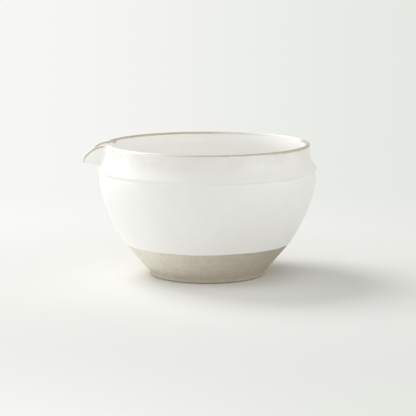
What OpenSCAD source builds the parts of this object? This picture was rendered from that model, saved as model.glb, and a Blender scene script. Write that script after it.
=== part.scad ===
// Katakuchi: an open stoneware pouring bowl with a short beak of a spout.
// The bowl stands on the XY plane with its axis on Z, and the spout points along -X.

/* [Bowl] */
// Height from the table to the top of the rim
bowl_h = 73; // [68:0.5:84]
// Diameter of the foot
foot_d = 64.4; // [56:0.2:72]
// Height of the upright face of the foot
foot_h = 2.2; // [1.8:0.1:4]
// Bevel round the bottom edge of the foot
foot_bevel = 0.5; // [0.2:0.1:0.8]
// Radius of the hollow corner between foot and flank
foot_fillet = 3; // [1:0.5:4]
// Width of the ring that the bowl stands on
foot_ring_w = 6; // [4:0.5:12]
// Depth of the hollow turned out under the foot
foot_hollow = 2.4; // [1:0.1:3.5]
// Lean of the lower flank, from upright
flank_angle = 40.8; // [36:0.2:44]
// Height at which the straight flank turns into the belly
flank_top = 14; // [10:0.5:18]
// Clay diameter of the belly at its widest
belly_d = 119.3; // [115:0.1:128]
// Height of the widest part of the belly
belly_z = 56; // [52:0.5:58]
// Clay thickness of the wall
wall_t = 3; // [2.2:0.1:4]
// Clay thickness of the floor over the hollow of the foot
floor_t = 4.2; // [3:0.1:6]
// Diameter of the flat part of the floor inside
floor_d = 36; // [20:1:44]

/* [Shoulder and rim] */
// Height of the shoulder ridge above the widest part of the belly
ridge_rise = 2.9; // [2.5:0.1:4]
// How far the ridge stands proud of the belly
ridge_proud = 0.2; // [0:0.05:1]
// Radius of the ridge
ridge_round = 1.2; // [0.8:0.1:1.8]
// Lean of the underside of the ridge, from upright
ridge_undercut = 40; // [20:1:55]
// Lean of the collar where it leaves the ridge, from upright
collar_angle = 31; // [20:1:40]
// How far the lip is drawn in from the belly, all round
lip_inset = 3.6; // [2:0.1:7]
// Clay thickness at the lip
lip_t = 1.5; // [1.2:0.1:2.4]

/* [Spout] */
// Outside width of the spout where it leaves the bowl
spout_w = 19.4; // [14:0.2:22]
// Fullness of the spout's sides in plan, 1 for straight and 2 for rounded
spout_fullness = 2; // [1:0.1:2.5]
// Distance from the middle of the lip to the tip of the spout
spout_reach = 13.6; // [9:0.2:20]
// Height of the rim above the tip of the spout
spout_drop = 9.1; // [7:0.1:11]
// Height of the rim above the underside of the spout where it leaves the bowl
spout_depth = 12; // [10.5:0.1:13]
// Clay thickness of the spout where it leaves the bowl
spout_wall = 1.5; // [1.2:0.1:2.2]
// Clay thickness at the tip of the spout
spout_tip_wall = 0.5; // [0.4:0.1:1]
// Bluntness of the edge's sweep from rim to tip, 1 for straight and 2 for an ellipse
spout_sweep = 1.65; // [1.4:0.05:2.2]
// Width of the channel at the tip of the spout
spout_tip_gap = 0.6; // [0.4:0.1:3]

/* [Glaze and wash] */
// Height of the glaze line on the outside
glaze_line = 18.4; // [15:0.1:30]
// Thickness of the white glaze and of the brown wash
coat_t = 0.35; // [0.25:0.05:0.4]
// Thickness of the slip seam between spout and bowl
luting_t = 0.5; // [0.4:0.1:0.8]

/* [Hidden] */
$fn = 144;

clay_color = [0.74, 0.70, 0.61];
slip_color = [0.70, 0.66, 0.57];
glaze_color = [0.95, 0.95, 0.93];
wash_color = [0.62, 0.55, 0.45];

// How far each curve follows its end directions before it bends away
flank_pull = 7.1;
belly_pull = 16.2;
groove_pull = 0.9;
collar_pull = 6;
neck_pull = 4.6;
liner_pull = 6;
well_pull = 0.6;
// Straight stretch just below the lip, and the number of points along each curve
lip_straight = 0.8;
curve_steps = 14;
round_steps = 8;
// Number of points across the spout, round its edge and along its length
trough_steps = 16;
edge_steps = 7;
length_steps = 16;
// Depth of the groove that is left at the very tip, and a margin for cuts to run past a surface
tip_groove = 0.05;
margin = 3;

foot_r = foot_d / 2;
belly_r = belly_d / 2;
ridge_z = belly_z + ridge_rise;
ridge_r = belly_r + ridge_proud;
floor_z = foot_hollow + floor_t;
lip_r = belly_r - lip_inset;
lip_z = bowl_h - coat_t - lip_t / 2;
lip_mid_r = lip_r - lip_t / 2;
lip_in_r = lip_r - lip_t;
above = bowl_h + margin;

// Curves, as lists of points
function bezier(a, b, c, d, steps) = [for (i = [0 : steps])
    let (t = i / steps, s = 1 - t)
    a * s * s * s + b * 3 * s * s * t + c * 3 * s * t * t + d * t * t * t];
function arc(centre, radius, from, to, steps) = [for (i = [0 : steps])
    let (a = between(from, to, i / steps))
    centre + radius * [cos(a), sin(a)]];
function leaning(angle) = [sin(angle), cos(angle)];
function between(a, b, share) = a * (1 - share) + b * share;
function last(points) = points[len(points) - 1];
function tail(points) = [for (i = [1 : len(points) - 1]) points[i]];
function reversed(points) = [for (i = [len(points) - 1 : -1 : 0]) points[i]];
function heading(points, i) = points[min(i + 1, len(points) - 1)] - points[max(i - 1, 0)];
// A line beside another, to the right of its direction
function beside(points, distance) = [for (i = [0 : len(points) - 1])
    let (h = heading(points, i))
    points[i] + distance * [h[1], -h[0]] / norm(h)];

// Outside of the clay from the foot up to the lip, as radius and height
foot_line = concat(
    [[foot_r - foot_bevel, 0]],
    [[foot_r, foot_bevel]],
    arc([foot_r + foot_fillet, foot_h - foot_fillet * tan(flank_angle / 2)], foot_fillet,
        180, 180 - flank_angle, round_steps));
flank_end = [foot_r + (flank_top - foot_h) * tan(flank_angle), flank_top];
belly_line = bezier(flank_end, flank_end + flank_pull * leaning(flank_angle),
    [belly_r, belly_z - belly_pull], [belly_r, belly_z], curve_steps);
ridge_line = arc([ridge_r - ridge_round, ridge_z], ridge_round, -ridge_undercut, collar_angle, round_steps);
groove_line = bezier([belly_r, belly_z], [belly_r, belly_z + groove_pull],
    ridge_line[0] - groove_pull * leaning(ridge_undercut), ridge_line[0], round_steps);
collar_line = bezier(last(ridge_line), last(ridge_line) + collar_pull * leaning(-collar_angle),
    [lip_r, lip_z - lip_straight - neck_pull], [lip_r, lip_z - lip_straight], curve_steps);
outer_line = concat(foot_line, belly_line, tail(groove_line), tail(ridge_line), tail(collar_line),
    [[lip_r, lip_z]]);

// Inside of the clay from the middle of the floor up to the lip
liner_line = beside(belly_line, -wall_t);
floor_edge = [floor_d / 2, floor_z];
well_corner = [liner_line[0][0] - (liner_line[0][1] - floor_z) * tan(flank_angle), floor_z];
well_line = bezier(floor_edge, between(floor_edge, well_corner, well_pull),
    between(liner_line[0], well_corner, well_pull), liner_line[0], round_steps);
neck_line = bezier(last(liner_line), last(liner_line) + [0, liner_pull],
    [lip_in_r, lip_z - lip_straight - liner_pull], [lip_in_r, lip_z - lip_straight], curve_steps);
inner_line = concat([[0, floor_z]], well_line, tail(liner_line), tail(neck_line), [[lip_in_r, lip_z]]);

// Outside of the clay from the glaze line up
glaze_heights = [for (p = outer_line) [p[1], p[0]]];
glazed_line = concat([[lookup(glaze_line, glaze_heights), glaze_line]],
    [for (p = outer_line) if (p[1] > glaze_line + coat_t) p]);

// Over the lip, from the outside to the inside
function lip_arc(thickness) = arc([lip_mid_r, lip_z], lip_t / 2 + thickness, 0, 180, 2 * round_steps);

// Spout measures, at a distance s from the bowl's axis
spout_start = lip_in_r - margin;
spout_end = lip_mid_r + spout_reach - coat_t;
function along(s) = max(0, min(1, (s - lip_mid_r) / (spout_end - lip_mid_r)));
function clay_wall(s) = between(spout_wall, spout_tip_wall, along(s));
function full_wall(s) = clay_wall(s) + 2 * coat_t;
function sweep(t) = pow(1 - pow(t, spout_sweep), 1 / spout_sweep);
function edge_top(s) = bowl_h - spout_drop * (1 - sweep(along(s)));
function edge_level(s) = edge_top(s) - full_wall(s) / 2;
tip_half_width = full_wall(spout_end) + spout_tip_gap / 2;
function half_width(s) = between(spout_w / 2, tip_half_width, pow(along(s), spout_fullness));
root_underside = bowl_h - spout_depth;
tip_underside = edge_level(spout_end) - full_wall(spout_end) - tip_groove;
function underside(s) = between(root_underside, tip_underside, along(s));

// The trough of the spout at a depth into its wall, from edge to edge
function trough_angle(s, depth) = acos((bowl_h - edge_level(s)) / (bowl_h - underside(s) - depth));
function trough_point(s, depth, angle) = [-s, (half_width(s) - depth) * sin(angle),
    bowl_h - (bowl_h - underside(s) - depth) * cos(angle)];
function trough(s, depth) = [for (i = [-trough_steps : 2 : trough_steps])
    trough_point(s, depth, trough_angle(s, depth) * i / trough_steps)];
function trough_edge(s, depth, side) = trough_point(s, depth, side * trough_angle(s, depth));
// Over the wall's edge, starting at a depth on the outside, through an angle, on side 1 or -1
function edge_arc(s, depth, turn, side) =
    let (outside = trough_edge(s, depth, side),
        inside = trough_edge(s, full_wall(s) - depth, side),
        half = abs(outside[1] - inside[1]) / 2)
    [for (i = [0 : edge_steps])
        let (angle = turn * i / edge_steps)
        (outside + inside) / 2 + half * [0, side * cos(angle), sin(angle)]];
function stretch(points, from, to) = [for (i = [from : to]) points[i]];
function raised(p) = [p[0], p[1], above];

// Cross-sections, as rings whose first and last points lie across from each other, and so on inwards:
// a layer of the trough, its whole wall, the wash on one edge, and what is cut away for them
function layer_ring(s, outer, inner) = concat(trough(s, outer), reversed(trough(s, inner)));
function wall_ring(s, depth) =
    let (near = edge_arc(s, depth, 180, -1), far = edge_arc(s, depth, 180, 1), half = (edge_steps - 1) / 2)
    concat(
        reversed(stretch(near, 1, half)),
        trough(s, depth),
        stretch(far, 1, edge_steps - 1),
        reversed(trough(s, full_wall(s) - depth)),
        reversed(stretch(near, half + 1, edge_steps - 1)));
function wash_ring(s, side) =
    let (ring = concat(edge_arc(s, 0, 180, side), reversed(edge_arc(s, coat_t, 180, side))))
    side > 0 ? ring : reversed(ring);
function opening_ring(s, depth) =
    let (near = edge_arc(s, depth, 90, -1), far = edge_arc(s, depth, 90, 1))
    concat([raised(last(near))], reversed(tail(near)), trough(s, depth), tail(far), [raised(last(far))]);
function channel_ring(s) =
    let (ring = trough(s, full_wall(s)))
    concat([raised(ring[0])], ring, [raised(last(ring))]);

// Places of the cross-sections, closer together towards the tip
stations = concat([spout_start, lip_mid_r], [for (i = [1 : length_steps])
    between(lip_mid_r, spout_end, pow(sin(90 * i / length_steps), 2 / spout_sweep))]);
root_stations = [for (s = stations) if (s < spout_end) s];

// A solid through rings of as many points each, with each four-sided patch split on its shorter diagonal
module loft(rings) {
    count = len(rings[0]);
    final = (len(rings) - 1) * count;
    sides = [for (k = [0 : len(rings) - 2], i = [0 : count - 1])
        let (j = (i + 1) % count, a = k * count, b = a + count)
        each norm(rings[k][i] - rings[k + 1][j]) < norm(rings[k][j] - rings[k + 1][i])
            ? [[a + i, a + j, b + j], [a + i, b + j, b + i]]
            : [[a + i, a + j, b + i], [a + j, b + j, b + i]]];
    cap = [for (i = [0 : floor(count / 2) - 1])
        let (j = count - 1 - i)
        each concat(j > i + 1 ? [[i, j, i + 1]] : [], j > i + 2 ? [[i + 1, j, j - 1]] : [])];
    polyhedron(
        points = [for (ring = rings) each ring],
        faces = concat(sides, cap, [for (t = cap) [for (i = reversed(t)) final + i]]));
}

// Room inside the bowl, and everything within the outside of its clay, both open upwards
module bowl_room() {
    rotate_extrude() polygon(concat(inner_line, [[lip_in_r, above], [0, above]]));
}
module bowl_bulk() {
    rotate_extrude() polygon(concat([[0, 0]], outer_line, [[lip_r, above], [0, above]]));
}
module thrown_bowl() {
    rotate_extrude() polygon(concat(
        outer_line,
        tail(lip_arc(0)),
        tail(reversed(inner_line)),
        [[0, foot_hollow], [foot_r - foot_ring_w, foot_hollow], [foot_r - foot_ring_w, 0]]));
}
module spout_opening(depth) {
    loft([for (s = root_stations) opening_ring(s, depth)]);
}

module bowl_body() {
    color(clay_color) difference() {
        thrown_bowl();
        spout_opening(coat_t - luting_t);
    }
}
module spout() {
    color(clay_color) difference() {
        loft([for (s = stations) wall_ring(s, coat_t)]);
        bowl_room();
    }
}
module spout_luting() {
    color(slip_color) intersection() {
        thrown_bowl();
        loft([for (s = root_stations) layer_ring(s, coat_t - luting_t, coat_t)]);
    }
}
module bowl_outer_glaze() {
    color(glaze_color) difference() {
        rotate_extrude() polygon(concat(beside(glazed_line, coat_t), reversed(glazed_line)));
        spout_opening(0);
    }
}
module bowl_liner_glaze() {
    color(glaze_color) difference() {
        rotate_extrude() polygon(concat(inner_line, reversed(beside(inner_line, -coat_t))));
        loft([for (s = root_stations) channel_ring(s)]);
    }
}
module spout_outer_glaze() {
    color(glaze_color) difference() {
        loft([for (s = stations) layer_ring(s, 0, coat_t)]);
        bowl_bulk();
    }
}
module spout_liner_glaze() {
    color(glaze_color) difference() {
        loft([for (s = stations) layer_ring(s, full_wall(s) - coat_t, full_wall(s))]);
        bowl_room();
    }
}
module rim_wash() {
    color(wash_color) difference() {
        rotate_extrude() polygon(concat(lip_arc(coat_t), reversed(lip_arc(0))));
        spout_opening(0);
    }
}
module spout_edge_wash() {
    tip = wall_ring(spout_end, 0);
    color(wash_color) difference() {
        union() {
            for (side = [-1, 1])
                loft([for (s = stations) wash_ring(s, side)]);
            loft([tip, [for (p = tip) p - [coat_t, 0, 0]]]);
        }
        bowl_room();
    }
}

bowl_body();
spout();
spout_luting();
bowl_outer_glaze();
bowl_liner_glaze();
spout_outer_glaze();
spout_liner_glaze();
rim_wash();
spout_edge_wash();
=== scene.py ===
import bpy
import numpy as np
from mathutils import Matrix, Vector


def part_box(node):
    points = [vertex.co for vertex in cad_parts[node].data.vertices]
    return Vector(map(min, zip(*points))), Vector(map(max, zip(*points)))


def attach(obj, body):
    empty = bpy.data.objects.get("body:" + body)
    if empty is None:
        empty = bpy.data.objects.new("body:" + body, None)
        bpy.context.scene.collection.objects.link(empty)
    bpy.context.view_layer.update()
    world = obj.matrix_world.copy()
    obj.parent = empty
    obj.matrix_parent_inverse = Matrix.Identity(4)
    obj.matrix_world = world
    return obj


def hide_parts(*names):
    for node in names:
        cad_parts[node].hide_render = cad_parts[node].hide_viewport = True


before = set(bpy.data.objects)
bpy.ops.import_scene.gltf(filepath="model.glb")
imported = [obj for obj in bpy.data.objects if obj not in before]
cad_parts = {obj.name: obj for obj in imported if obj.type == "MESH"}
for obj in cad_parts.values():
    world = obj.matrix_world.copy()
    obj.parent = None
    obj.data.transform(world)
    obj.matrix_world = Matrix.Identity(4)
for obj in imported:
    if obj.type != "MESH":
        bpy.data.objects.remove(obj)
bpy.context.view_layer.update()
mm = 0.001  # shapes are worked out in millimetres, meshes are in metres
flipY = np.array([1, -1, 1])
print("frame loaded with", len(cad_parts), "nodes")


def nodeBox(node):
    low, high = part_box(node)
    return np.array(low) / mm, np.array(high) / mm


rimHigh = nodeBox("rim_wash")[1]
coatHigh = nodeBox("bowl_outer_glaze")[1]
linerLow = nodeBox("bowl_liner_glaze")[0]
beakLow = nodeBox("spout_outer_glaze")[0]

coat = 0.35  # thickness of glaze and wash
rimTop = rimHigh[2]
lipRadius = rimHigh[0]  # outside of the wash on the rim
lipWidth = 2.2  # across the rim, with its coats
lipMid = lipRadius - lipWidth / 2
lipHeight = rimTop - lipWidth / 2  # where the wall ends and the rounded lip begins


# Curves in a half plane, as points of radius and height

def bezier(a, b, c, d, count=60):
    t = np.linspace(0, 1, count)[:, None]
    s = 1 - t
    return s**3 * a + 3 * s**2 * t * b + 3 * s * t**2 * c + t**3 * d


def arc(centre, radius, start, end, count=30):
    turn = np.radians(np.linspace(start, end, count))
    return np.array(centre) + radius * np.stack([np.cos(turn), np.sin(turn)], 1)


def lean(degrees):
    return np.array([np.sin(np.radians(degrees)), np.cos(np.radians(degrees))])


def chain(*curves):
    line = np.concatenate(curves)
    step = np.linalg.norm(np.diff(line, axis=0), axis=1)
    return line[np.concatenate([[True], step > 1e-6])]


def rightOf(line):
    heading = np.gradient(line, axis=0)
    heading /= np.linalg.norm(heading, axis=1)[:, None]
    return np.stack([heading[:, 1], -heading[:, 0]], 1)


def beside(line, distance):
    return line + distance * rightOf(line)


# The bowl's profile, in clay
bowl = dict(
    footRadius=32.2, footHeight=2.2, footBevel=0.5, footFillet=3.0, ringWidth=6.0, hollow=2.4,
    flankAngle=40.8, flankTop=14.0, flankPull=7.1, bellyHeight=56.0, bellyPull=16.2,
    ridgeRise=2.9, ridgeProud=0.2, ridgeRound=1.2, ridgeUndercut=40.0, groovePull=0.9,
    collarAngle=31.0, collarPull=6.0, neckPull=4.6, lipStraight=0.8,
    wall=3.0, floorRadius=18.0, wellPull=0.6, linerPull=6.0,
)
bellyRadius = coatHigh[0] - coat - bowl["ridgeProud"]
ridgeHeight = bowl["bellyHeight"] + bowl["ridgeRise"]
lipOutside = np.array([lipRadius - coat, lipHeight])
lipInside = np.array([lipRadius - lipWidth + coat, lipHeight])


def bellyLine():
    b = bowl
    climb = b["flankTop"] - b["footHeight"]
    flankEnd = np.array([b["footRadius"] + climb * np.tan(np.radians(b["flankAngle"])), b["flankTop"]])
    widest = np.array([bellyRadius, b["bellyHeight"]])
    return bezier(flankEnd, flankEnd + b["flankPull"] * lean(b["flankAngle"]),
                  widest - [0, b["bellyPull"]], widest, 160)


def clayOutside():
    b = bowl
    foot = arc([b["footRadius"] + b["footFillet"],
                b["footHeight"] - b["footFillet"] * np.tan(np.radians(b["flankAngle"] / 2))],
               b["footFillet"], 180, 180 - b["flankAngle"])
    belly = bellyLine()
    flank = np.linspace(foot[-1], belly[0], 40)
    ridge = arc([bellyRadius + b["ridgeProud"] - b["ridgeRound"], ridgeHeight], b["ridgeRound"],
                -b["ridgeUndercut"], b["collarAngle"])
    groove = bezier(belly[-1], belly[-1] + [0, b["groovePull"]],
                    ridge[0] - b["groovePull"] * lean(b["ridgeUndercut"]), ridge[0])
    neck = lipOutside - [0, b["lipStraight"]]
    collar = bezier(ridge[-1], ridge[-1] + b["collarPull"] * lean(-b["collarAngle"]),
                    neck - [0, b["neckPull"]], neck)
    return chain([[b["footRadius"] - b["footBevel"], 0], [b["footRadius"], b["footBevel"]]],
                 foot, flank, belly, groove, ridge, collar, [lipOutside])


def clayInside():
    b = bowl
    liner = beside(bellyLine(), -b["wall"])
    floorHeight = linerLow[2]
    floorEdge = np.array([b["floorRadius"], floorHeight])
    climb = liner[0][1] - floorHeight
    corner = np.array([liner[0][0] - climb * np.tan(np.radians(b["flankAngle"])), floorHeight])
    well = bezier(floorEdge, floorEdge + b["wellPull"] * (corner - floorEdge),
                  liner[0] + b["wellPull"] * (corner - liner[0]), liner[0])
    neckTop = lipInside - [0, b["lipStraight"]]
    neck = bezier(liner[-1], liner[-1] + [0, b["linerPull"]], neckTop - [0, b["linerPull"]], neckTop)
    return chain(np.linspace([0, floorHeight], floorEdge, 20), well, liner, neck, [lipInside])


clayOut, clayIn = clayOutside(), clayInside()
glazeOut, glazeIn = beside(clayOut, coat), beside(clayIn, -coat)
# What the thumb hollowed, under the ridge and above it: depth, height over the ridge, reach up and down
hollows = dict(
    underRidge=(0.34, -1.0, 0.6, 4.0), collar=(0.2, 5.0, 2.6, 2.6),
)
for depth, rise, reachUp, reachDown in hollows.values():
    over = glazeOut[:, 1] - ridgeHeight - rise
    glazeOut[:, 0] -= depth * np.exp(-(over / np.where(over > 0, reachUp, reachDown)) ** 2)


def outRadius(z):
    return np.interp(z, glazeOut[:, 1], glazeOut[:, 0])


def inRadius(z):
    return np.interp(z, glazeIn[:, 1], glazeIn[:, 0])


# The beak: a trough of half-elliptic section whose edge sweeps down from rim to tip
beak = dict(
    halfWidth=9.7, tipHalfWidth=1.5, fullness=2.0, tipEnd=-beakLow[0], drop=9.1, depth=12.0,
    rootWall=2.2, tipWall=1.2, sweep=1.65, sweepKept=0.95, tipGroove=0.05, search=(45.0, 66.0),
)


def along(s):
    return np.clip((s - lipMid) / (beak["tipEnd"] - lipMid), 0, 1)


def beakWall(s):
    return beak["rootWall"] + (beak["tipWall"] - beak["rootWall"]) * along(s)


def edgeFall(share):
    return 1 - (1 - share ** beak["sweep"]) ** (1 / beak["sweep"])


def edgeHeight(s):
    kept = beak["sweepKept"]  # the sweep's last steep stretch is left off
    return rimTop - beak["drop"] * edgeFall(kept * along(s)) / edgeFall(kept) - beakWall(s) / 2


def beakHalfWidth(s):
    return beak["halfWidth"] + (beak["tipHalfWidth"] - beak["halfWidth"]) * along(s) ** beak["fullness"]


def beakDepth(s):
    tipDepth = rimTop - edgeHeight(beak["tipEnd"]) + beak["tipWall"] + beak["tipGroove"]
    return beak["depth"] + (tipDepth - beak["depth"]) * along(s)


def beakPoint(s, angle, inside):
    inset = inside * beakWall(s)
    return np.stack([-s, (beakHalfWidth(s) - inset) * np.sin(angle),
                     rimTop - (beakDepth(s) - inset) * np.cos(angle)], -1)


def edgeAngle(s, inside):
    return np.arccos((rimTop - edgeHeight(s)) / (beakDepth(s) - inside * beakWall(s)))


def solve(rising, low, high):
    for _ in range(50):
        middle = (low + high) / 2
        below = rising(middle) < 0
        low, high = np.where(below, middle, low), np.where(below, high, middle)
    return middle


# Columns of one half, from the middle of the tip along the edge to the corner and round the rim to the back
columns = dict(tip=5, side=26, rim=112, crowding=0.45)
cornerColumn = columns["tip"] + columns["side"]


def beakColumns(inside, radius):
    def beyond(s, angle):
        p = beakPoint(s, angle, inside)
        return np.hypot(p[..., 0], p[..., 1]) - radius(p[..., 2])

    corner = solve(lambda s: beyond(s, edgeAngle(s, inside)), *beak["search"])
    sweepIn = np.sin(np.linspace(1, 0, columns["side"] + 1) * np.pi / 2) ** (2 / beak["sweep"])
    station = corner + (beak["tipEnd"] - corner) * sweepIn
    angle = edgeAngle(station, inside)
    tipShare = np.arange(columns["tip"]) / columns["tip"]
    angle = np.concatenate([tipShare * angle[0], angle])
    station = np.concatenate([np.full(columns["tip"], beak["tipEnd"]), station])
    joint = solve(lambda s: beyond(s, angle), *(np.full(len(angle), end) for end in beak["search"]))
    joint[-1] = station[-1]
    return angle, station, joint


def aroundRim(start):
    t = np.arange(1, columns["rim"] + 1) / columns["rim"]
    crowd = columns["crowding"]
    return start + (np.pi - start) * ((1 - crowd) * t + crowd * t**2)


def turned(radius, azimuth, z):
    return np.stack(np.broadcast_arrays(-radius * np.cos(azimuth), radius * np.sin(azimuth), z), -1)


def smoothstep(x, low, high):
    t = np.clip((x - low) / (high - low), 0, 1)
    return t * t * (3 - 2 * t)


def outwards(p):
    return p * [1, 1, 0] / np.maximum(np.hypot(p[..., 0], p[..., 1]), 1)[..., None]


# Rings left by the fingers: a slow spiral in height, kept away from the beak, the lip and the ridge
throwing = dict(
    outside=dict(height=0.035, pitch=6.1, phase=0.4), inside=dict(height=0.07, pitch=7.7, phase=1.9),
    fineShare=0.6, finePitch=0.37, fromBeak=(0.4, 0.8), underLip=(2.0, 5.0),
    ridgeFrom=(-4.0, -3.0), ridgeTo=(2.0, 3.0),
)


def throwingRings(p, height, pitch, phase):
    azimuth, z = np.arctan2(p[..., 1], -p[..., 0]), p[..., 2]
    fine = np.sin(2 * np.pi * z / (throwing["finePitch"] * pitch) + azimuth)
    rings = np.sin(2 * np.pi * z / pitch - azimuth + phase) + throwing["fineShare"] * fine
    above = z - ridgeHeight
    onRidge = smoothstep(above, *throwing["ridgeFrom"]) * (1 - smoothstep(above, *throwing["ridgeTo"]))
    where = smoothstep(np.abs(azimuth), *throwing["fromBeak"]) * smoothstep(rimTop - z, *throwing["underLip"])
    return p + outwards(p) * (height * rings * where * (1 - onRidge))[..., None]


# Moves points near the join of bowl and beak onto a rounded fillet between the two, larger towards the rim
join = dict(
    outside=(1.5, 3.5), inside=(3.0, 7.0), heights=(62.0, 69.0), belowRidge=3.0, spread=0.6,
    passes=8, probe=0.01, leastSlope=0.2, leastWidth=0.05,
)


def fillet(points, radius, line, inside):
    sizes = join["inside"] if inside else join["outside"]
    slope = np.gradient(line[:, 0]) / np.maximum(np.gradient(line[:, 1]), 1e-6)
    squareOn = 1 / np.sqrt(1 + slope**2)

    def field(p):
        bowlGap = np.hypot(p[..., 0], p[..., 1]) - radius(p[..., 2])
        bowlGap = bowlGap * np.interp(p[..., 2], line[:, 1], squareOn)
        s = -p[..., 0]
        inset = inside * beakWall(s)
        wide, deep = np.maximum(beakHalfWidth(s) - inset, join["leastWidth"]), beakDepth(s) - inset
        u, v = p[..., 1] / wide, (rimTop - p[..., 2]) / deep
        reach = np.maximum(np.hypot(u, v), 1e-6)  # 1 on the trough's ellipse
        beakGap = (reach - 1) * reach / np.maximum(np.hypot(u / wide, v / deep), 1e-6)
        size = sizes[0] + (sizes[1] - sizes[0]) * smoothstep(p[..., 2], *join["heights"])
        overlap = np.maximum(size - np.abs(bowlGap - beakGap), 0) / size
        return np.minimum(bowlGap, beakGap) - overlap**2 * size / 4

    p = points.copy()
    azimuth = np.arctan2(p[..., 1], -p[..., 0])
    near = (p[..., 2] > ridgeHeight - join["belowRidge"]) & (np.abs(azimuth) < join["spread"])
    near = near & (p[..., 0] < 0)
    moving = p[near]
    probe = join["probe"]
    for _ in range(join["passes"]):
        value = field(moving)
        slopes = np.stack([(field(moving + probe * axis) - field(moving - probe * axis)) / (2 * probe)
                           for axis in np.eye(3)], -1)
        moving = moving - slopes * (value / np.maximum((slopes**2).sum(-1), join["leastSlope"]))[..., None]
    p[near] = moving
    return p


# Heights of the rows below the join, closer together at the ridge
rows = dict(
    upper=16, upperCrowding=0.8, beak=20, beakCrowding=1.5, breakHeight=60.4, inBreakHeight=60.0,
    coarse=1.4, fine=0.24, fineFrom=54.5, inside=51, pastFloor=100,
)
glazeEdge = dict(  # each wave has its count, share and turn
    line=18.4, bead=0.22, beadReach=1.3, round=0.3, wave=0.13,
    waves=((3, 1.0, 1.1), (7, 0.6, 0.4), (17, 0.4, 0.0)),
)
edgeSteps = np.array([0, 0.02, 0.06, 0.12, 0.2, 0.3, 0.45, 0.7, 1.1, 1.7, 2.6, 4.0])


def steps(*stops):
    return np.concatenate([np.arange(low, high - 1e-6, step) for low, high, step in stops])


def edgeRows(azimuth):
    g = glazeEdge
    wave = g["wave"] * sum(share * np.sin(count * azimuth + turn) for count, share, turn in g["waves"])
    fade = 1 - smoothstep(edgeSteps, 0, edgeSteps[-1])
    z = g["line"] + edgeSteps[:, None] + fade[:, None] * wave
    rounded = np.sqrt(1 - (1 - np.minimum(edgeSteps / g["round"], 1)) ** 2)
    thick = (coat * rounded * (1 + g["bead"] * np.exp(-edgeSteps / g["beadReach"])))[:, None]
    side = rightOf(clayOut)
    clay = turned(np.interp(z, clayOut[:, 1], clayOut[:, 0]), azimuth, z)
    radius = np.hypot(clay[..., 0], clay[..., 1]) + thick * np.interp(z, clayOut[:, 1], side[:, 0])
    return turned(radius, azimuth, z + thick * np.interp(z, clayOut[:, 1], side[:, 1])), clay


def wallSide(inside):
    radius, line = (inRadius, glazeIn) if inside else (outRadius, glazeOut)
    angle, station, joint = beakColumns(inside, radius)
    jointPoint = beakPoint(joint, angle, inside)
    azimuth = np.arctan2(jointPoint[:, 1], -jointPoint[:, 0])
    azimuth = np.concatenate([azimuth, aroundRim(azimuth[-1])])
    top = np.concatenate([jointPoint[:, 2], np.full(columns["rim"], lipHeight)])
    breakHeight = rows["inBreakHeight"] if inside else rows["breakHeight"]
    share = np.linspace(0, 1, rows["upper"] + 1)[:, None]
    upperHeights = breakHeight + (top - breakHeight) * share ** rows["upperCrowding"]
    upper = turned(radius(upperHeights), azimuth, upperHeights)
    out = np.linspace(0, 1, rows["beak"] + 1)[:, None] ** rows["beakCrowding"]
    angles = np.broadcast_to(angle, (len(out), len(angle)))
    trough = beakPoint(joint + (station - joint) * out, angles, inside)
    return azimuth, upper, trough


outAzimuth, outUpper, outBeak = wallSide(0)
inAzimuth, inUpper, inBeak = wallSide(1)
edgeFront, edgeClay = edgeRows(outAzimuth)
firstHeight = np.interp(glazeEdge["line"] + edgeSteps[-1], clayOut[:, 1], glazeOut[:, 1]) + rows["coarse"]
bellyHeights = steps((firstHeight, rows["fineFrom"], rows["coarse"]),
                     (rows["fineFrom"], rows["breakHeight"], rows["fine"]))[:, None]
belly = turned(outRadius(bellyHeights), outAzimuth, bellyHeights)
outBowl = np.concatenate([edgeFront, throwingRings(np.concatenate([belly, outUpper]), **throwing["outside"])])

# Inside, the rows follow the profile from the middle of the floor up
length = np.concatenate([[0], np.cumsum(np.linalg.norm(np.diff(glazeIn, axis=0), axis=1))])
wall = slice(rows["pastFloor"], None)  # where the profile climbs
breakLength = np.interp(rows["inBreakHeight"], glazeIn[wall, 1], length[wall])
inLengths = np.linspace(0, breakLength, rows["inside"] + 1)[:-1]
inLower = turned(np.interp(inLengths, length, glazeIn[:, 0])[:, None], inAzimuth,
                 np.interp(inLengths, length, glazeIn[:, 1])[:, None])
inBowl = throwingRings(np.concatenate([inLower, inUpper]), **throwing["inside"])

outBowl, outBeak = (fillet(part, outRadius, glazeOut, 0) for part in (outBowl, outBeak))
inBowl, inBeak = (fillet(part, inRadius, glazeIn, 1) for part in (inBowl, inBeak))


def ring(half):
    return np.concatenate([half, half[:, -2:0:-1] * flipY], 1)


def strip(half):
    return np.concatenate([half[:, :0:-1] * flipY, half], 1)


def closed(grid):
    return np.concatenate([grid, grid[:, :1]], 1)


# The rounded lip that runs round the rim and along both edges of the beak
lipSteps = 10
lipOut = ring(np.concatenate([outBeak[-1], outBowl[-1, cornerColumn + 1:]])[None])[0]
lipIn = ring(np.concatenate([inBeak[-1], inBowl[-1, cornerColumn + 1:]])[None])[0]
lipCentre, lipHalf = (lipOut + lipIn) / 2, (lipOut - lipIn) / 2
lipRun = np.roll(lipCentre, -1, 0) - np.roll(lipCentre, 1, 0)
lipUp = np.cross(lipRun, lipHalf)
lipUp *= (np.linalg.norm(lipHalf, axis=1) / np.linalg.norm(lipUp, axis=1))[:, None]
lipTurn = np.linspace(0, np.pi, lipSteps + 1)[:, None, None]
lip = lipCentre + lipHalf * np.cos(lipTurn) + lipUp * np.sin(lipTurn)

# Every front surface in one direction: up the outside, over the lip and down the inside
fronts = dict(outBowl=ring(outBowl), outBeak=strip(outBeak), lip=lip,
              inBowl=ring(inBowl)[::-1], inBeak=strip(inBeak)[::-1])
ringed = ("outBowl", "lip", "inBowl")


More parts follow.
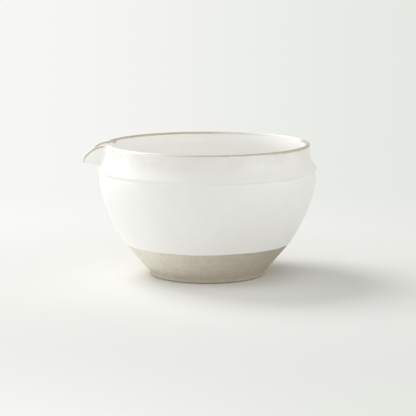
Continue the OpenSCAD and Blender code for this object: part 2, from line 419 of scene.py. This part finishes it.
def surfaceNormals(grids):
    whole = {name: closed(grid) if name in ringed else grid for name, grid in grids.items()}
    points = np.concatenate([grid.reshape(-1, 3) for grid in whole.values()])
    same = np.unique(points.round(4), axis=0, return_inverse=True)[1].ravel()
    total = np.zeros((same.max() + 1, 3))
    start = 0
    index = {}
    for name, grid in whole.items():
        count = grid.shape[0] * grid.shape[1]
        index[name] = same[start:start + count].reshape(grid.shape[:2])
        start += count
        facing = np.cross(grid[1:, 1:] - grid[:-1, :-1], grid[1:, :-1] - grid[:-1, 1:])
        i = index[name]
        for corner in (i[:-1, :-1], i[:-1, 1:], i[1:, 1:], i[1:, :-1]):
            np.add.at(total, corner, facing)
    total /= np.maximum(np.linalg.norm(total, axis=1), 1e-12)[:, None]
    return {name: total[index[name][:, :grids[name].shape[1]]] for name in grids}


normals = surfaceNormals(fronts)
outward = np.sign((normals["outBowl"][5, 0] * [-1, 0, 0]).sum())
normals = {name: n * outward for name, n in normals.items()}
clays = {name: fronts[name] - coat * normals[name] for name in fronts}
clays["outBowl"][:len(edgeSteps)] = ring(edgeClay)
print("surfaces worked out:", {name: grid.shape[:2] for name, grid in fronts.items()})


# How far each row lies from the middle of the brown line, in half widths of the line
def pathLengths(grid):
    return np.concatenate([np.zeros((1, grid.shape[1])),
                           np.cumsum(np.linalg.norm(np.diff(grid, axis=0), axis=2), axis=0)])


overLip = pathLengths(lip)
halfLip = overLip[-1] / 2
beakOf = np.arange(-cornerColumn, cornerColumn + 1)
fromLip = dict(lip=halfLip - overLip)
fromLip["outBeak"] = pathLengths(fronts["outBeak"][::-1])[::-1] + halfLip[beakOf]
fromLip["inBeak"] = pathLengths(fronts["inBeak"]) + halfLip[beakOf]
for bowlName, beakName, up in (("outBowl", "outBeak", True), ("inBowl", "inBeak", False)):
    start = halfLip.copy()
    start[beakOf] = fromLip[beakName][0 if up else -1]
    down = fronts[bowlName][::-1] if up else fronts[bowlName]
    reach = pathLengths(down) + start
    fromLip[bowlName] = reach[::-1] if up else reach

# Where the brown line's inner and outer edges lie from the crest of the lip, and where that changes; on the
# near side the brown keeps off the crest, which stays white as a painted highlight
line = dict(
    beak=(-1.35, 1.35), rim=(-1.95, 1.45), back=(-1.95, 1.95), crestHighlight=(0.0, 1.7), change=6.0,
    crestHighlightFrom=(-1.8, -1.2), crestHighlightTo=(-0.05, -0.01), backFrom=(2.0, 2.45),
)
lipAzimuth = np.arctan2(lipCentre[:, 1], -lipCentre[:, 0])
runLength = np.cumsum(np.linalg.norm(np.diff(lipCentre, axis=0, append=lipCentre[:1]), axis=1))
toRim = np.minimum(runLength - runLength[cornerColumn], runLength[-cornerColumn] - runLength)
toRim = smoothstep(toRim, 0, line["change"])
toBack = smoothstep(np.abs(lipAzimuth), *line["backFrom"])
# on the near side the crest stays white: a painted highlight
paintedCrestHighlight = smoothstep(lipAzimuth, *line["crestHighlightFrom"]) * (1 - smoothstep(lipAzimuth, *line["crestHighlightTo"]))
lineEdges = np.repeat([line["beak"]], len(lipAzimuth), 0)
for share, edges in ((toRim, line["rim"]), (toBack, line["back"]), (paintedCrestHighlight, line["crestHighlight"])):
    lineEdges = lineEdges + share[:, None] * (edges - lineEdges)
lineInside, lineOutside = lineEdges.T
lineMiddle, lineHalf = (lineInside + lineOutside) / 2, (lineOutside - lineInside) / 2
for name, side in dict(lip=1, outBowl=1, outBeak=1, inBowl=-1, inBeak=-1).items():
    pick = beakOf if "Beak" in name else slice(None)
    fromLip[name] = np.abs(side * fromLip[name] - lineMiddle[pick]) / lineHalf[pick]


# A little of the wheel's and the kiln's unevenness, the same for every piece
unevenness = dict(  # each lobe has its count, share and turn
    lobes=((2, 0.0011, 0.6), (3, 0.0005, -1.1)), rimWave=0.09, waveTurn=-0.4, leanX=0.2, leanY=0.22,
    beakDip=-0.05, dipWidth=0.65, dipPower=6,
)


def settle(p):
    azimuth, lift = np.arctan2(p[..., 1], p[..., 0]), p[..., 2] / rimTop
    u = unevenness
    grow = 1 + lift * sum(share * np.cos(count * azimuth + turn) for count, share, turn in u["lobes"])
    fromBeak = np.arctan2(p[..., 1], -p[..., 0]) / u["dipWidth"]
    dip = u["beakDip"] * lift ** u["dipPower"] * np.exp(-fromBeak**2)
    wave = u["rimWave"] * np.cos(2 * azimuth + u["waveTurn"])
    wave = wave + u["leanX"] * np.cos(azimuth) + u["leanY"] * np.sin(azimuth)
    raised = p[..., 2] + lift**2 * wave - dip
    return np.stack([p[..., 0] * grow, p[..., 1] * grow, raised], -1)


def makePiece(name, node, finish, grid, ringRows=False, ringColumns=True, facing=None, values=None):
    points = settle(grid).reshape(-1, 3)
    kept, same = np.unique(points.round(4), axis=0, return_inverse=True)
    same = same.ravel()
    index = same.reshape(grid.shape[:2])
    around = np.concatenate([index, index[:, :1]], 1) if ringColumns else index
    around = np.concatenate([around, around[:1]]) if ringRows else around
    quads = np.stack([around[:-1, :-1], around[:-1, 1:], around[1:, 1:], around[1:, :-1]], -1)
    faces = quads.reshape(-1, 4).tolist()
    if not ringColumns:  # close both ends with a ladder of faces across the section
        half = len(index) // 2
        for column, order in ((index[:, 0], 1), (index[:, -1], -1)):
            for k in range(half - 1):
                faces.append([column[k], column[-1 - k], column[-2 - k], column[k + 1]][::order])
    faces = [list(dict.fromkeys(int(v) for v in face)) for face in faces]
    faces = [face for face in faces if len(face) > 2]
    triangles = [[face[0], face[1], face[2]] for face in faces]
    triangles += [[face[0], face[2], face[3]] for face in faces if len(face) == 4]
    first, second, third = kept[np.array(triangles).T]
    volume = (first * np.cross(second, third)).sum() / 6
    if volume < 0:  # turn the faces outwards
        faces = [face[::-1] for face in faces]
    mesh = bpy.data.meshes.new(name)
    mesh.from_pydata((kept * mm).tolist(), [], faces)
    mesh.polygons.foreach_set("use_smooth", [True] * len(mesh.polygons))
    for key, field in (values or {}).items():
        spread = np.zeros(len(kept), np.float32)
        spread[same] = field.ravel()
        mesh.attributes.new(key, "FLOAT", "POINT").data.foreach_set("value", spread)
    mesh.validate()
    if facing is not None:
        shown = np.zeros((len(kept), 3))
        shown[same] = facing.reshape(-1, 3)
        mesh.normals_split_custom_set_from_vertices(shown.tolist())
    mesh.materials.append(finish)
    piece = bpy.data.objects.new(name, mesh)
    bpy.context.scene.collection.objects.link(piece)
    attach(piece, "root")
    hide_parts(node)
    print("made", name, "with", len(mesh.polygons), "faces, volume", round(abs(volume)), "mm3")


# Shader sockets with arithmetic, and the one way that nodes are added
class Wire:
    def __init__(self, finish, socket):
        self.finish, self.socket = finish, socket

    def maths(self, operation, first, second):
        return self.finish.node("Math", dict(operation=operation), {0: first, 1: second})

    def __add__(self, other):
        return self.maths("ADD", self, other)

    def __sub__(self, other):
        return self.maths("SUBTRACT", self, other)

    def __rsub__(self, other):
        return self.maths("SUBTRACT", other, self)

    def __mul__(self, other):
        return self.maths("MULTIPLY", self, other)

    def __truediv__(self, other):
        return self.maths("DIVIDE", self, other)

    __radd__, __rmul__ = __add__, __mul__


class Finish:
    def __init__(self, name, owner=None):
        self.owner = owner or bpy.data.materials.new(name)
        self.owner.use_nodes = True
        self.tree = self.owner.node_tree
        self.tree.nodes.clear()

    def node(self, kind, settings, inputs, output=0):
        made = self.tree.nodes.new("ShaderNode" + kind)
        for key, value in settings.items():
            setattr(made, key, value)
        for place, value in inputs.items():
            if isinstance(value, Wire):
                self.tree.links.new(value.socket, made.inputs[place])
            else:
                made.inputs[place].default_value = value
        return Wire(self, made.outputs[output]) if made.outputs else made

    def place(self):
        return self.node("TexCoord", {}, {}, "Object")

    def axes(self, place):
        made = self.node("SeparateXYZ", {}, {0: place})
        return [Wire(self, made.socket.node.outputs[k]) for k in range(3)]

    def stretched(self, place, scale):
        return self.node("VectorMath", dict(operation="MULTIPLY"), {0: place, 1: scale})

    def noise(self, place, scale, detail=2.0, rough=0.5):
        return self.node("TexNoise", {},
                         {"Vector": place, "Scale": scale, "Detail": detail, "Roughness": rough})

    def ease(self, value, low, high):
        return self.node("MapRange", dict(interpolation_type="SMOOTHSTEP"),
                         {"Value": value, "From Min": low, "From Max": high})

    def seen(self):  # 1 where the camera looks, straight or by way of a gloss or a clear surface
        path = self.node("LightPath", {}, {}, "Is Camera Ray")
        outputs = path.socket.node.outputs
        return path + Wire(self, outputs["Is Glossy Ray"]) + Wire(self, outputs["Is Transmission Ray"])

    def field(self, name):
        return self.node("Attribute", dict(attribute_name=name), {}, "Fac")

    def blend(self, share, first, second):
        return self.node("Mix", dict(data_type="RGBA"), {0: share, 6: first, 7: second}, 2)

    def bump(self, height, strength, depth):
        return self.node("Bump", {}, {"Strength": strength, "Distance": depth, "Height": height})

    def surface(self, **sockets):
        inputs = {key.replace("_", " "): value for key, value in sockets.items()}
        shader = self.node("BsdfPrincipled", {}, inputs)
        self.node("OutputMaterial", {}, {"Surface": shader})
        return self.owner


def tone(red, green, blue):
    return (red, green, blue, 1.0)


# Iron wash: brown where it lies thick on the lip; on two stretches of the rim the brown fades to white, a
# painted highlight, and it is paler at the tip
wash = dict(
    brown=tone(0.475, 0.405, 0.290), pale=tone(0.600, 0.540, 0.420), cloud=150.0, full=0.75, gone=1.2,
    ragged=0.4, raggedScale=420.0, overGlaze=0.9, rough=0.42, roughSpread=0.2, roughScale=600.0,
    grain=1500.0, bump=(0.2, 0.00005),
    paintedHighlightNear=((-1.80, -0.68), (-0.22, -0.17)), paintedHighlightNearShare=0.92,  # angle from the beak where the painted highlight comes in, then where it goes
    paintedHighlightFar=((1.20, 2.70), (2.76, 2.99)), paintedHighlightFarShare=0.95,
    paleFarTip=((0.0610, 0.0635), (-0.0005, 0.0010)), paleFarTipShare=0.92, tip=(0.0672, 0.0687), tipShare=0.7,
    pool=(-0.0519, 0.0045, 0.0724), poolStretch=(1.0, 0.3, 1.0), poolSize=(0.0011, 0.0018),
)


def turnBetween(finish, azimuth, rise, fall):
    return finish.ease(azimuth, *rise) * (1 - finish.ease(azimuth, *fall))


def washTone(finish, place):
    return finish.blend(finish.noise(place, wash["cloud"], 3.0), wash["brown"], wash["pale"])


def washShare(finish, place):
    x, y, z = finish.axes(place)
    azimuth = finish.node("Math", dict(operation="ARCTAN2"), {0: y, 1: 0 - x})
    ragged = finish.noise(place, wash["raggedScale"], 3.0) - 0.5
    edge = finish.field("fromLip") + ragged * wash["ragged"]
    share = 1 - finish.ease(edge, wash["full"], wash["gone"])
    # painted highlights on two stretches of the rim, where the brown fades to white
    paintedHighlightNear = turnBetween(finish, azimuth, *wash["paintedHighlightNear"])
    paintedHighlightFar = turnBetween(finish, azimuth, *wash["paintedHighlightFar"])
    # the far edge of the beak is paler near the tip
    paleFarTip = finish.ease(0 - x, *wash["paleFarTip"][0]) * finish.ease(y, *wash["paleFarTip"][1])
    spread = share * (1 - wash["paintedHighlightNearShare"] * paintedHighlightNear) * (1 - wash["paintedHighlightFarShare"] * paintedHighlightFar)
    spread = spread * (1 - wash["paleFarTipShare"] * paleFarTip)
    spread = spread * (1 - wash["tipShare"] * finish.ease(0 - x, *wash["tip"]))
    squeezed = finish.stretched(place, wash["poolStretch"])
    gap = finish.node("VectorMath", dict(operation="DISTANCE"), {0: squeezed, 1: wash["pool"]}, "Value")
    pooled = 1 - finish.ease(gap, *wash["poolSize"])
    return finish.node("Math", dict(operation="MAXIMUM"), {0: spread, 1: pooled})


glaze = dict(
    white=tone(0.920, 0.916, 0.896), cool=tone(0.895, 0.895, 0.872), warm=tone(0.640, 0.585, 0.510),
    # the inside copy of the glaze is paler than the outside: painted light
    paintedLightInsideWhite=tone(0.945, 0.942, 0.920), paintedLightInsideCool=tone(0.930, 0.928, 0.906),
    cloud=28.0, mottle=144.0, mixed=(0.35, 0.65), mottleShare=0.4, grain=1300.0, bump=(0.18, 0.00006),
    thinAndShade=0.22, thinAndShadeMixed=(0.3, 0.6), thinAndShadeMottleShare=0.3, thinAndShadeFrom=(2.5, 9.0),  # the heights are over the ridge; the collar's warmer, darker glaze is partly thin glaze, partly painted shade
    rough=0.44, roughSpread=0.16, roughScale=90.0,
)


def glazeColour(finish, place, white, cool):
    cloud = finish.noise(place, glaze["cloud"], 2.0)
    mottle = finish.noise(place, glaze["mottle"], 4.0, 0.6)

    def mixed(share, low, high):
        return finish.ease(cloud * (1 - share) + mottle * share, low, high)

    even = finish.blend(mixed(glaze["mottleShare"], *glaze["mixed"]), white, cool)
    # warmer and darker on the collar: partly thin glaze, partly painted shade
    thinAndShade = finish.field("collarThinAndShade") * mixed(glaze["thinAndShadeMottleShare"], *glaze["thinAndShadeMixed"])
    return finish.blend(thinAndShade * glaze["thinAndShade"], even, glaze["warm"])


def whiteGlaze(name, white, cool):
    finish = Finish(name)
    place = finish.place()
    even = glazeColour(finish, place, white, cool)
    grain = finish.noise(place, glaze["grain"], 3.0, 0.6)
    colour = finish.blend(washShare(finish, place) * wash["overGlaze"], even, washTone(finish, place))
    rough = glaze["rough"] + (finish.noise(place, glaze["roughScale"], 3.0) - 0.5) * glaze["roughSpread"]
    return finish.surface(Base_Color=colour, Roughness=rough, Normal=finish.bump(grain, *glaze["bump"]))


def ironWash(name):
    finish = Finish(name)
    place = finish.place()
    grain = finish.noise(place, wash["grain"], 3.0)
    colour = finish.blend(washShare(finish, place), glaze["white"], washTone(finish, place))
    rough = wash["rough"] + (finish.noise(place, wash["roughScale"], 3.0) - 0.5) * wash["roughSpread"]
    return finish.surface(Base_Color=colour, Roughness=rough, Normal=finish.bump(grain, *wash["bump"]))


clay = dict(  # much paler on the spout's side than across from it and at the foot, fitted to the photo: painted light on the spout's side, painted shade across from it and at the foot
    light=tone(0.840, 0.815, 0.735), dark=tone(0.705, 0.670, 0.580),
    paintedShadeLight=tone(0.520, 0.468, 0.378), paintedShadeDark=tone(0.440, 0.388, 0.305),
    turn=(-0.042, 0.042), turnWander=0.02, foot=(0.0, 0.010), footShadeShare=0.88,
    cloud=55.0, streak=330.0, streakStretch=(1.0, 1.0, 0.12),
    turning=1500.0, turningStretch=(0.03, 0.03, 1.0),
    shares=(0.2, 0.5, 0.3), mixed=(0.28, 0.72),  # of cloud, streak and turning
    speck=tone(0.290, 0.255, 0.200), speckScale=1900.0, speckFrom=(0.66, 0.74), speckShare=0.45,
    grain=2600.0, grainShare=0.5, bump=(0.35, 0.00009), rough=0.86, roughSpread=0.12,
)


def bareClay(name):
    finish = Finish(name)
    place = finish.place()
    cloud = finish.noise(place, clay["cloud"], 4.0, 0.6)
    streak = finish.noise(finish.stretched(place, clay["streakStretch"]), clay["streak"], 3.0, 0.55)
    turning = finish.noise(finish.stretched(place, clay["turningStretch"]), clay["turning"], 3.0, 0.6)
    grain = finish.noise(place, clay["grain"], 4.0, 0.7)
    ofCloud, ofStreak, ofTurning = clay["shares"]
    tones = finish.ease(cloud * ofCloud + streak * ofStreak + turning * ofTurning, *clay["mixed"])
    x, y, z = finish.axes(place)
    # painted light on the spout's side and painted shade across from it, and painted shade in the lowest 10
    # mm at the foot
    paintedShade = finish.ease(x + (cloud - 0.5) * clay["turnWander"], *clay["turn"])
    paintedShade = paintedShade + (1 - paintedShade) * (1 - finish.ease(z, *clay["foot"])) * clay["footShadeShare"]
    body = finish.blend(paintedShade, finish.blend(tones, clay["dark"], clay["light"]),
                        finish.blend(tones, clay["paintedShadeDark"], clay["paintedShadeLight"]))
    specks = finish.ease(finish.noise(place, clay["speckScale"], 1.0), *clay["speckFrom"])
    colour = finish.blend(specks * clay["speckShare"], body, clay["speck"])
    relief = grain * clay["grainShare"] + turning * (1 - clay["grainShare"])
    rough = clay["rough"] + (grain - 0.5) * clay["roughSpread"]
    return finish.surface(Base_Color=colour, Roughness=rough, Normal=finish.bump(relief, *clay["bump"]))


whiteOutside = whiteGlaze("white_glaze_outside", glaze["white"], glaze["cool"])
# the inside's paler glaze is painted light
paintedLightWhiteInside = whiteGlaze("white_glaze_inside_painted_light", glaze["paintedLightInsideWhite"], glaze["paintedLightInsideCool"])
brownWash, stoneware, slip = ironWash("iron_wash"), bareClay("bare_stoneware"), bareClay("joining_slip")
print("finishes made")


# Glaze and wash: closed coats, with their own back against the clay
backOffset = 20  # puts a coat's back clear of the brown line


def makeCoat(name, slot, finish, part, ringColumns, columnPick=slice(None), poles=False):
    front, back = fronts[part][:, columnPick], clays[part][:, columnPick]
    n, reach = normals[part][:, columnPick], fromLip[part][:, columnPick]
    # the collar's warmer, darker glaze: partly thin glaze, partly painted shade
    collarThinAndShade = smoothstep(front[..., 2] - ridgeHeight, *glaze["thinAndShadeFrom"]) * (part == "outBowl")
    if poles:  # the middle of the floor comes last in the front and first in the back
        front[-1], back[-1] = front[-1].mean(0), back[-1].mean(0)
    both = dict(fromLip=np.concatenate([reach, reach[::-1] + backOffset]),
                collarThinAndShade=np.concatenate([collarThinAndShade, collarThinAndShade[::-1]]))
    grid, facing = np.concatenate([front, back[::-1]]), np.concatenate([n, -n[::-1]])
    makePiece(name + "_coat", name, finish, grid, True, ringColumns, facing, both)


rimOf = np.arange(cornerColumn, lip.shape[1] - cornerColumn + 1)
makeCoat("bowl_outer_glaze", "white_glaze", whiteOutside, "outBowl", True)
makeCoat("spout_outer_glaze", "white_glaze", whiteOutside, "outBeak", False)
makeCoat("bowl_liner_glaze", "white_glaze", paintedLightWhiteInside, "inBowl", True, poles=True)
makeCoat("spout_liner_glaze", "white_glaze", paintedLightWhiteInside, "inBeak", False)
makeCoat("rim_wash", "iron_wash", brownWash, "lip", False, rimOf)
makeCoat("spout_edge_wash", "iron_wash", brownWash, "lip", False, beakOf)

# The thrown bowl: underside and foot, bare flank, then the clay under the coats
foot = dict(
    turning=0.028, pitch=1.05, slowShare=0.8, slowTurns=0.37, turningFrom=(0.3, 2.0),
    ringSteps=8, undersideSteps=16, ripple=0.05, rippleTurns=2.1, button=0.35, buttonWidth=4.0,
    hollowRound=1.0, edgeRound=0.4, space=0.2, undercut=(1.1, 0.8),
    bareStart=0.1, rowStep=0.24, intoGlaze=0.9, coveredStep=3,
)


def turningMarks(p):
    azimuth = np.arctan2(p[..., 1], p[..., 0])
    climb = p[..., 2] / foot["pitch"] - azimuth / (2 * np.pi)
    slow = np.sin(2 * np.pi * foot["slowTurns"] * p[..., 2] + azimuth)
    marks = np.sin(2 * np.pi * climb) + foot["slowShare"] * slow
    where = smoothstep(p[..., 2] - bowl["footHeight"], *foot["turningFrom"])
    return p + outwards(p) * (foot["turning"] * marks * where)[..., None]


def underside():
    inner, outer = bowl["footRadius"] - bowl["ringWidth"], bowl["footRadius"]
    inRound, ringRound, space = foot["hollowRound"], foot["edgeRound"], foot["space"]
    radii = np.linspace(0, inner - inRound - space, foot["undersideSteps"])
    rings = foot["ripple"] * np.sin(radii * foot["rippleTurns"])
    rings = rings + foot["button"] * np.exp(-(radii / foot["buttonWidth"]) ** 2)
    hollow = np.stack([radii, bowl["hollow"] - rings], 1)
    corner = arc([inner - inRound, bowl["hollow"] - inRound], inRound, 90, 0, 8)
    edge = arc([inner + ringRound, ringRound], ringRound, 180, 270, 6)
    cutIn, cutUp = foot["undercut"]  # the bottom edge is cut back, so that it casts a line of shadow
    ringRadii = np.linspace(inner + ringRound + space, outer - cutIn - 0.1, foot["ringSteps"])
    ringFace = np.stack([ringRadii, np.zeros(foot["ringSteps"])], 1)
    bevel = np.linspace([outer - cutIn, 0.04], [outer - 0.06, cutUp], 6)
    return np.concatenate([hollow, corner, edge, ringFace, bevel])


ringAzimuth = np.concatenate([outAzimuth, -outAzimuth[-2:0:-1]])
under = underside()
underRows = turned(under[:, :1], ringAzimuth, under[:, 1:])
bareHeights = np.arange(foot["undercut"][1] + foot["bareStart"], glazeEdge["line"] + foot["intoGlaze"],
                        foot["rowStep"])[:, None]
bareRadii = np.interp(bareHeights, clayOut[:, 1], clayOut[:, 0])
bareRows = turningMarks(turned(bareRadii, ringAzimuth, bareHeights))
coveredOut = clays["outBowl"][len(edgeSteps)::foot["coveredStep"]]
coveredIn = clays["inBowl"][::foot["coveredStep"]]
jointOut, jointIn = clays["outBowl"][-1:], clays["inBowl"][:1]
lipRows = clays["lip"][1:-1:2].copy()
lipShare = np.linspace(0, 1, len(lipRows) + 2)[1:-1, None, None]
lipRows[:, beakOf] = (jointOut + (jointIn - jointOut) * lipShare)[:, beakOf]  # the cut that takes the beak
floorMiddle = np.broadcast_to(clays["inBowl"][-1].mean(0), jointIn.shape)
bodyRows = np.concatenate([underRows, bareRows, coveredOut, jointOut, lipRows, jointIn,
                           coveredIn[1:], floorMiddle])
makePiece("bowl_body_clay", "bowl_body", stoneware, bodyRows)

# The beak's own clay and the slip that it is stuck on with
seam = 2  # rows of the beak's root that are slip


def beakWallRows(first, last):
    outer, inner = clays["outBeak"], clays["inBeak"][::-1]
    tip = clays["lip"][1:-1, beakOf] if last is None else outer[:0]
    return np.concatenate([outer[first:last], tip, inner[first:last][::-1]])


makePiece("spout_clay", "spout", stoneware, beakWallRows(seam, None), True, False)
makePiece("spout_luting_slip", "spout_luting", slip, beakWallRows(0, seam + 1), True, False)

# Floor, light and camera
stage = dict(
    floor=tone(0.86, 0.86, 0.84), size=14.0, fade=(0.13, 0.34),
    pale=tone(0.930, 0.935, 0.915), shaded=tone(0.795, 0.815, 0.770), shade=(-0.14, 0.14),
    shadeMeets=0.914, shadeNearest=-0.4,  # the floor's tones fan out from a point in front, under the camera
    sky=0.92, low=tone(1.04, 1.04, 1.025), lowTo=(0.05, 0.4),
    left=tone(0.98, 0.975, 0.95), right=tone(0.89, 0.885, 0.86), leftTo=(-0.6, 0.6),
    zenith=tone(0.57, 0.57, 0.56), zenithFrom=(0.55, 1.0),
    behind=tone(0.25, 0.25, 0.245), behindFrom=(-0.1, 0.8),
)


def makeFloor():
    half = stage["size"] / 2
    mesh = bpy.data.meshes.new("floor")
    corners = [(-half, -half, 0), (half, -half, 0), (half, half, 0), (-half, half, 0)]
    mesh.from_pydata(corners, [], [(0, 1, 2, 3)])
    floor = bpy.data.objects.new("floor", mesh)
    bpy.context.scene.collection.objects.link(floor)
    finish = Finish("floor")
    x, y, z = finish.axes(finish.place())
    away = finish.node("Math", dict(operation="POWER"), {0: x * x + y * y, 1: 0.5})
    share = finish.ease(away, *stage["fade"]) * finish.seen()
    depth = finish.node("Math", dict(operation="MAXIMUM"), {0: y, 1: stage["shadeNearest"]})
    across = x / (stage["shadeMeets"] + depth)
    backdrop = finish.blend(finish.ease(across, *stage["shade"]), stage["pale"], stage["shaded"])
    lit = finish.node("BsdfDiffuse", {}, {"Color": stage["floor"]})
    plain = finish.node("Emission", {}, {"Color": backdrop, "Strength": 1.0})
    shown = finish.node("MixShader", {}, {0: share, 1: lit, 2: plain})
    finish.node("OutputMaterial", {}, {"Surface": shown})
    mesh.materials.append(finish.owner)


def makeSky():
    world = bpy.data.worlds.new("studio")
    bpy.context.scene.world = world
    finish = Finish("studio", world)
    x, y, z = finish.axes(finish.node("TexCoord", {}, {}, "Generated"))
    sides = finish.blend(finish.ease(x, *stage["leftTo"]), stage["left"], stage["right"])
    rising = finish.blend(finish.ease(z, *stage["lowTo"]), stage["low"], sides)
    overhead = finish.blend(finish.ease(z, *stage["zenithFrom"]), rising, stage["zenith"])
    allRound = finish.blend(finish.ease(y, *stage["behindFrom"]), overhead, stage["behind"])
    light = finish.node("Background", {}, {"Color": allRound, "Strength": stage["sky"]})
    plain = finish.node("Background", {}, {"Color": stage["pale"], "Strength": 1.0})
    shown = finish.node("MixShader", {}, {0: finish.seen(), 1: light, 2: plain})
    finish.node("OutputWorld", {}, {"Surface": shown})


lamps = dict(
    window=dict(place=(-1.13, 0.22, 0.18), width=0.5, height=0.34, power=3.1, colour=(1.0, 1.0, 1.0)),
    skylight=dict(place=(-0.66, 0.56, 1.03), width=0.7, height=0.7, power=9.2, colour=(1.0, 1.0, 1.0)),
    card=dict(place=(1.10, -0.25, 0.32), width=0.8, height=0.5, power=1.45, colour=(1.0, 0.985, 0.93)),
)
lampAim = Vector((0, 0, 0.03))


def makeLamps():
    for name, settings in lamps.items():
        lamp = bpy.data.lights.new(name, "AREA")
        lamp.shape, lamp.size, lamp.size_y = "RECTANGLE", settings["width"], settings["height"]
        lamp.energy, lamp.color = settings["power"], settings["colour"]
        holder = bpy.data.objects.new(name, lamp)
        holder.location = settings["place"]
        facing = lampAim - holder.location
        holder.rotation_euler = facing.to_track_quat("-Z", "Y").to_euler()
        bpy.context.scene.collection.objects.link(holder)


camera = dict(
    elevation=8.835, distance=0.9251, target=(0.00032, 0.0, 0.03658), focalPixels=1666.7, imagePixels=416,
    sensor=36.0, clip=(0.01, 40.0),
)


def makeCamera():
    data = bpy.data.cameras.new("camera")
    data.sensor_width = camera["sensor"]
    data.lens = camera["focalPixels"] / camera["imagePixels"] * data.sensor_width
    data.clip_start, data.clip_end = camera["clip"]
    eye = bpy.data.objects.new("camera", data)
    tilt = np.radians(camera["elevation"])
    back = Vector((0, -np.cos(tilt), np.sin(tilt)))
    eye.location = Vector(camera["target"]) + back * camera["distance"]
    eye.rotation_euler = (-back).to_track_quat("-Z", "Y").to_euler()
    bpy.context.scene.collection.objects.link(eye)
    bpy.context.scene.camera = eye


makeFloor()
makeSky()
makeLamps()
makeCamera()
bpy.context.scene.view_settings.view_transform = "Standard"
print("stage, light and camera set")
